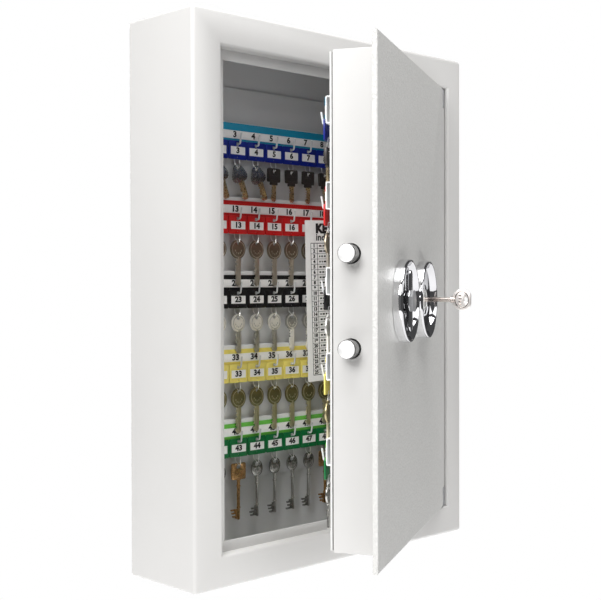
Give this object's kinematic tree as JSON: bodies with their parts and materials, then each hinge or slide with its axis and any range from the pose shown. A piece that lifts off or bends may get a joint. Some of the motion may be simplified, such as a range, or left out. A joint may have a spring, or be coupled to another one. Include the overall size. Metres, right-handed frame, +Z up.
{
  "type": "key cabinet",
  "caption": "Wall-mounted sheet-steel key cabinet with a hinged, key-locked bolt door and numbered hook rows for tagged keys in the body and in the door.",
  "frame": {"origin": "centre of the back face that lies on the wall", "axes": "+X to the right seen from the front, +Y into the wall, +Z up"},
  "size_m": [0.435, 0.2784, 0.6],
  "materials": {
    "body_paint": "satin light grey powder coat",
    "door_paint": "light grey powder coat, fine orange peel",
    "inner_paint": "satin grey",
    "liner_paint": "satin white",
    "zinc_steel": "zinc plated",
    "chrome": "polished",
    "key_metal": "nickel plated",
    "label": "white label with black numbers",
    "card": "white laminated card",
    "tags_blue": "dark blue tags with metal keys",
    "tags_red": "red tags with metal keys",
    "tags_black": "black tags with metal keys",
    "tags_yellow": "yellow tags with metal keys",
    "tags_green": "dark green tags with metal keys"
  },
  "bodies": {
    "cabinet": {"cabinet_shell": "body_paint", "back_panel": "inner_paint", "wall_bolt_1": "zinc_steel", "wall_bolt_2": "zinc_steel", "wall_bolt_3": "zinc_steel", "wall_bolt_4": "zinc_steel", "door_stop_frame": "body_paint", "hinge_pin_upper": "zinc_steel", "hinge_pin_lower": "zinc_steel", "hook_board": "inner_paint", "hook_bar_1": "zinc_steel", "hook_bar_2": "zinc_steel", "hook_bar_3": "zinc_steel", "hook_bar_4": "zinc_steel", "hook_bar_5": "zinc_steel", "label_strip_1": "label", "label_strip_2": "label", "label_strip_3": "label", "label_strip_4": "label", "label_strip_5": "label", "keys_row_1": "tags_blue", "keys_row_2": "tags_red", "keys_row_3": "tags_black", "keys_row_4": "tags_yellow", "keys_row_5": "tags_green", "index_card": "card"},
    "door": {"door_plate": "door_paint", "door_hinge_strip": "door_paint", "hinge_knuckle_upper": "zinc_steel", "hinge_knuckle_lower": "zinc_steel", "door_box": "door_paint", "door_liner": "liner_paint", "door_hook_bar_1": "zinc_steel", "door_hook_bar_2": "zinc_steel", "door_hook_bar_3": "zinc_steel", "door_hook_bar_4": "zinc_steel", "door_hook_bar_5": "zinc_steel", "door_label_strip_1": "label", "door_label_strip_2": "label", "door_label_strip_3": "label", "door_label_strip_4": "label", "door_label_strip_5": "label", "door_keys_row_1": "tags_blue", "door_keys_row_2": "tags_red", "door_keys_row_3": "tags_black", "door_keys_row_4": "tags_yellow", "door_keys_row_5": "tags_green", "handle_ring": "chrome", "lock_ring": "chrome", "lock_case": "zinc_steel", "bolt_guide_upper": "zinc_steel", "bolt_guide_lower": "zinc_steel"},
    "handle": {"handle_grip": "chrome", "handle_spindle": "zinc_steel"},
    "boltwork": {"bolt_carriage": "zinc_steel", "upper_bolt": "zinc_steel", "lower_bolt": "zinc_steel"},
    "curtain": {"lock_curtain": "zinc_steel"},
    "deadbolt": {"lock_deadbolt": "zinc_steel"},
    "key": {"key": "key_metal"}
  },
  "joints": [
    {"name": "door_swing", "type": "hinge", "parent": "cabinet", "child": "door", "pos_m": [0.1837, -0.103, 0], "axis": [0, 0, 1], "range_deg": [-28.5, 86.5]},
    {"name": "handle_turn", "type": "hinge", "parent": "door", "child": "handle", "pos_m": [-0.03646, -0.22879, -0.0015], "axis": [-0.4772, 0.8788, 0], "range_deg": [0, 90]},
    {"name": "bolt_throw", "type": "slide", "parent": "door", "child": "boltwork", "axis": [-0.8788, -0.4772, 0], "range_m": [0, 0.016]},
    {"name": "key_turn", "type": "hinge", "parent": "door", "child": "curtain", "pos_m": [0.05318, -0.18012, -0.0015], "axis": [-0.4772, 0.8788, 0], "range_deg": [0, 90]},
    {"name": "deadbolt_throw", "type": "slide", "parent": "door", "child": "deadbolt", "axis": [0, 0, -1], "range_m": [0, 0.007]},
    {"name": "key_withdraw", "type": "slide", "parent": "curtain", "child": "key", "axis": [0.4772, -0.8788, 0], "range_m": [0, 0.06]}
  ],
  "couplings": [
    {"joint": "bolt_throw", "follows": "handle_turn", "m_per_rad": 0.010185},
    {"joint": "deadbolt_throw", "follows": "key_turn", "m_per_rad": 0.004456}
  ]
}
